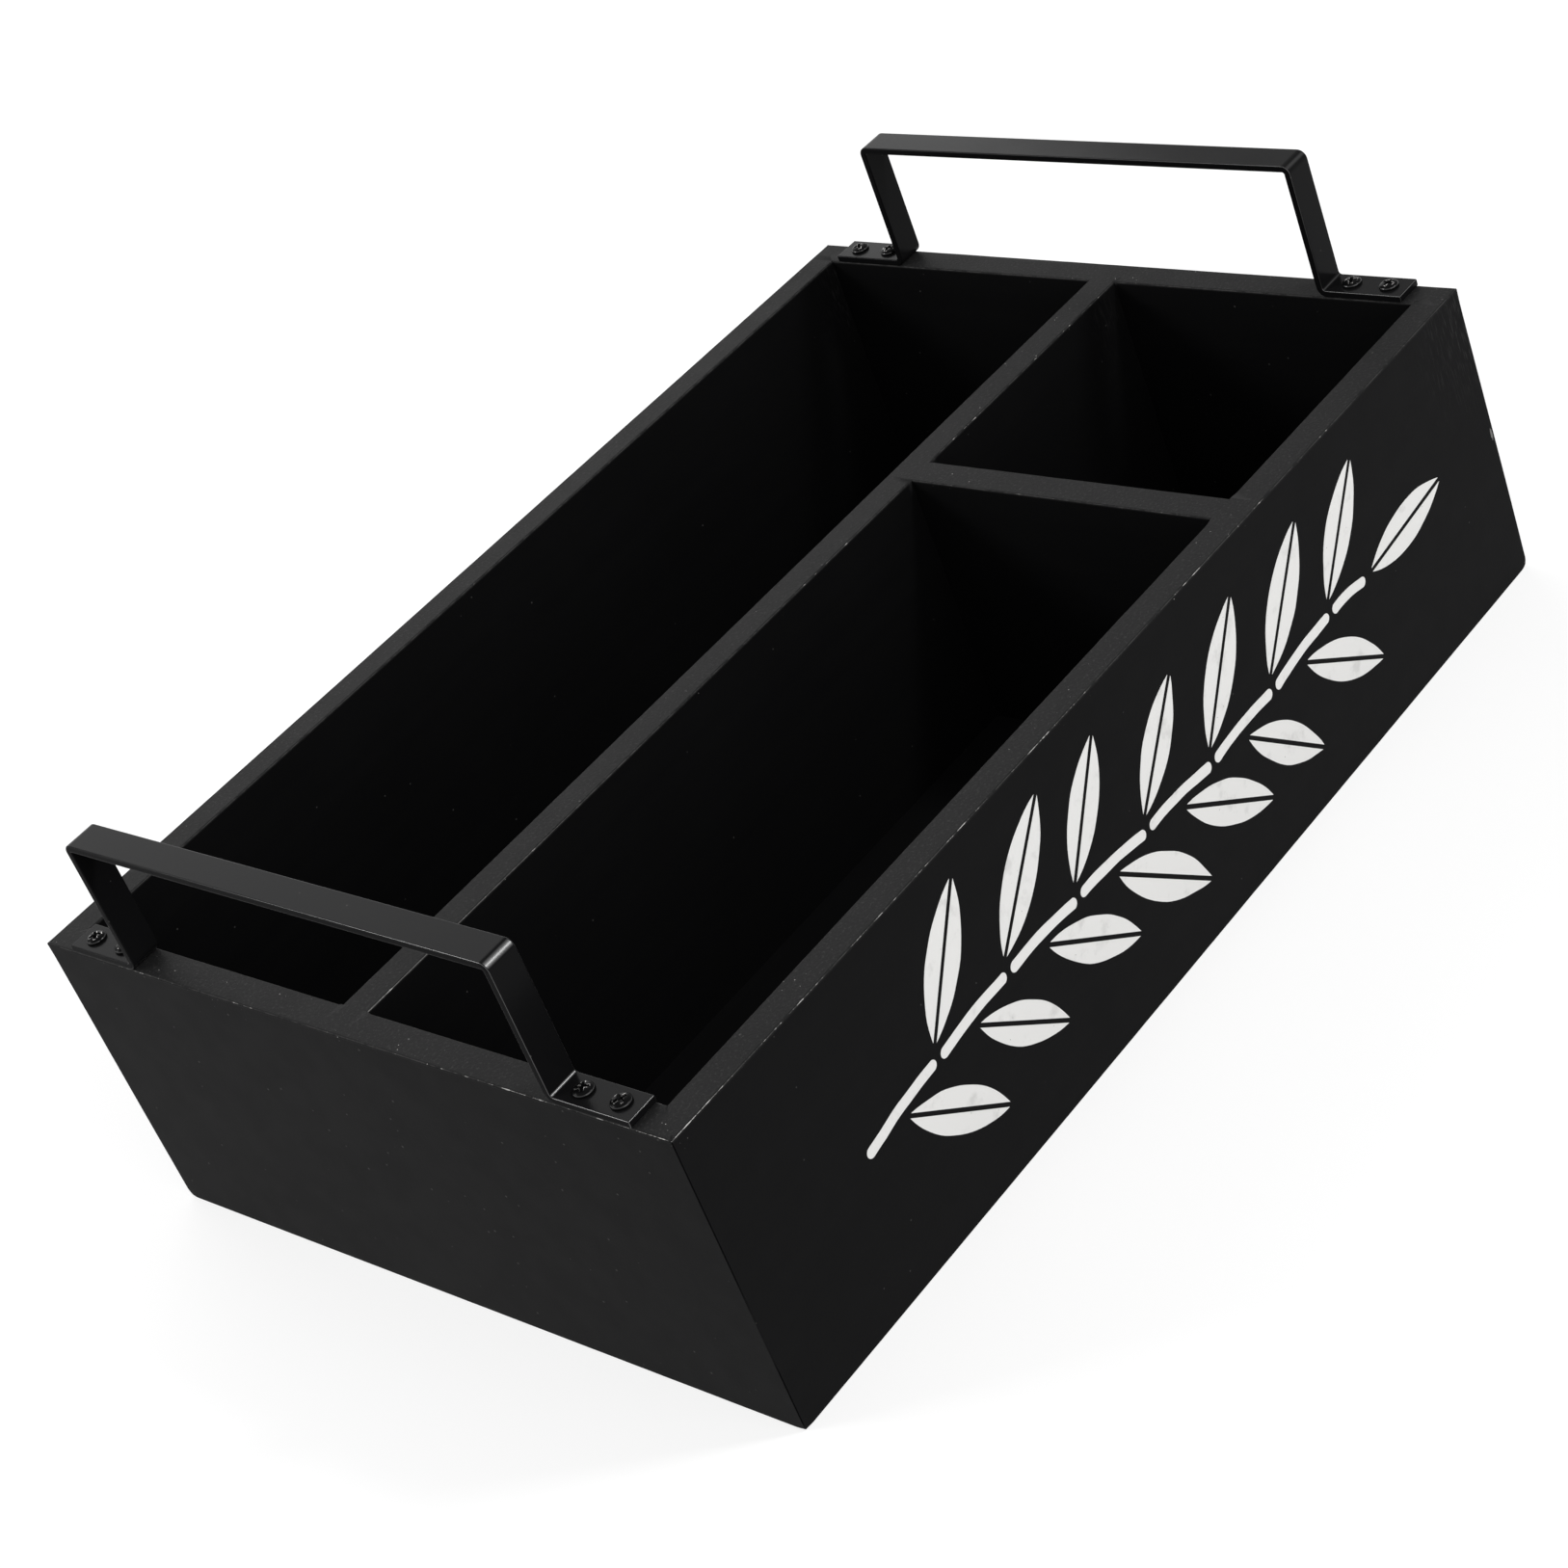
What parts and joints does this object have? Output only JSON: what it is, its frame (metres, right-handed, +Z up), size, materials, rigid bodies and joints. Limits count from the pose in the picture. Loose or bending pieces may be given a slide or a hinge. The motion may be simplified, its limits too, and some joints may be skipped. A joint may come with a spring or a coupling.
{
  "type": "tea bag organizer",
  "caption": "Open-topped painted wooden caddy with divided compartments for tea bags and sachets, carried by bent strap handles screwed to the rim of each short end.",
  "frame": {"origin": "middle of the footprint, on the surface that the box stands on", "axes": "+Z up, +X along the long side towards the end with the short compartment, -Y out of the front panel"},
  "size_m": [0.3, 0.198, 0.116],
  "materials": {
    "black_painted_wood": "matte black paint over softwood board, rubbed at the edges",
    "black_strap_steel": "satin black powder coat",
    "black_screw_steel": "black zinc, worn bright in the recess",
    "white_print": "matte off-white screen-printed ink"
  },
  "bodies": {
    "root": {"front_panel": "black_painted_wood", "back_panel": "black_painted_wood", "left_end_panel": "black_painted_wood", "right_end_panel": "black_painted_wood", "bottom_panel": "black_painted_wood", "long_divider": "black_painted_wood", "cross_divider": "black_painted_wood", "left_handle": "black_strap_steel", "right_handle": "black_strap_steel", "left_front_outer_screw": "black_screw_steel", "left_front_inner_screw": "black_screw_steel", "left_back_outer_screw": "black_screw_steel", "left_back_inner_screw": "black_screw_steel", "right_front_outer_screw": "black_screw_steel", "right_front_inner_screw": "black_screw_steel", "right_back_outer_screw": "black_screw_steel", "right_back_inner_screw": "black_screw_steel"}
  },
  "joints": []
}
